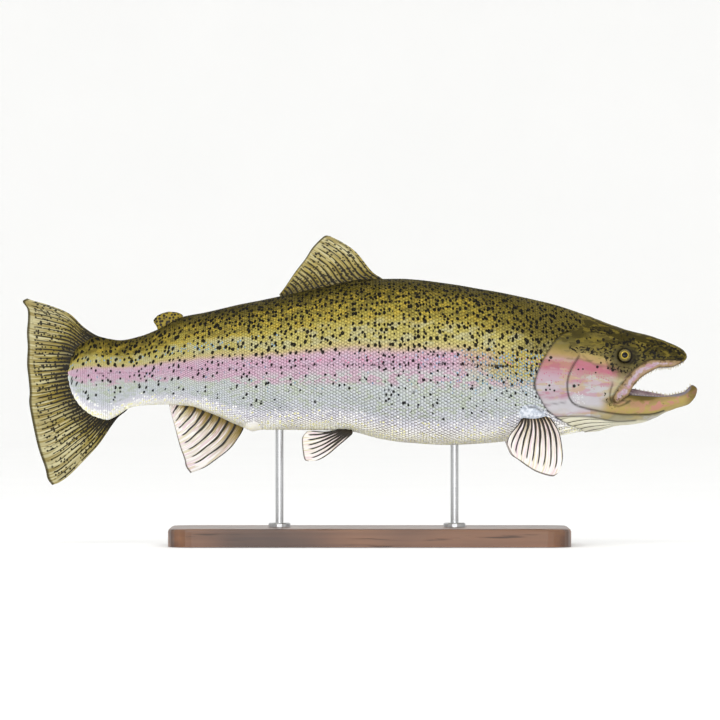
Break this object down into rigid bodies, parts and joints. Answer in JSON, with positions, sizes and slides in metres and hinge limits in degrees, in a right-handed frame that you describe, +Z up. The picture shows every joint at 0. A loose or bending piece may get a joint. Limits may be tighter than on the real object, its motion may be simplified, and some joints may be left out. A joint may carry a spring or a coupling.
{
  "type": "rainbow trout display model",
  "caption": "Life-size male rainbow trout with a hooked lower jaw and open mouth, swimming above a flat wooden base on slender steel rods.",
  "frame": {"origin": "on the floor, under the middle of the bounding box", "axes": "+X towards the snout, +Y towards the fish's left side, +Z up"},
  "size_m": [0.676, 0.15, 0.3099],
  "materials": {
    "body_skin": "wet scaled skin, dark olive back with black spots, pink stripe, silver side and cream belly",
    "head_skin": "wet smooth skin, olive with dark spots",
    "cheek_skin": "wet smooth skin over bone, rose with silver and gold",
    "jaw_skin": "wet smooth skin, golden brown with rose mottling",
    "tongue": "wet flesh",
    "throat_skin": "wet smooth skin, cream and gold",
    "eye": "glossy, black pupil in a gold ring",
    "back_fin": "ribbed fin skin, olive tan with black spots",
    "tail_fin": "ribbed fin skin, olive tan with black spots",
    "belly_fin": "ribbed fin skin, cream with dark rays",
    "stand_wood": "satin dark walnut",
    "stand_steel": "brushed"
  },
  "bodies": {
    "root": {"head": "head_skin", "gill_cover_left": "cheek_skin", "gill_cover_right": "cheek_skin", "maxilla_left": "jaw_skin", "maxilla_right": "jaw_skin", "lower_jaw": "jaw_skin", "tongue": "tongue", "throat": "throat_skin", "eye_left": "eye", "eye_right": "eye", "trunk_front": "body_skin", "trunk_rear": "body_skin", "tail_stalk": "body_skin", "dorsal_fin": "back_fin", "adipose_fin": "back_fin", "tail_fin": "tail_fin", "anal_fin": "belly_fin", "pelvic_fin_left": "belly_fin", "pelvic_fin_right": "belly_fin", "pectoral_fin_left": "belly_fin", "pectoral_fin_right": "belly_fin", "stand_base": "stand_wood", "stand_rod_front": "stand_steel", "stand_rod_rear": "stand_steel"}
  },
  "joints": []
}
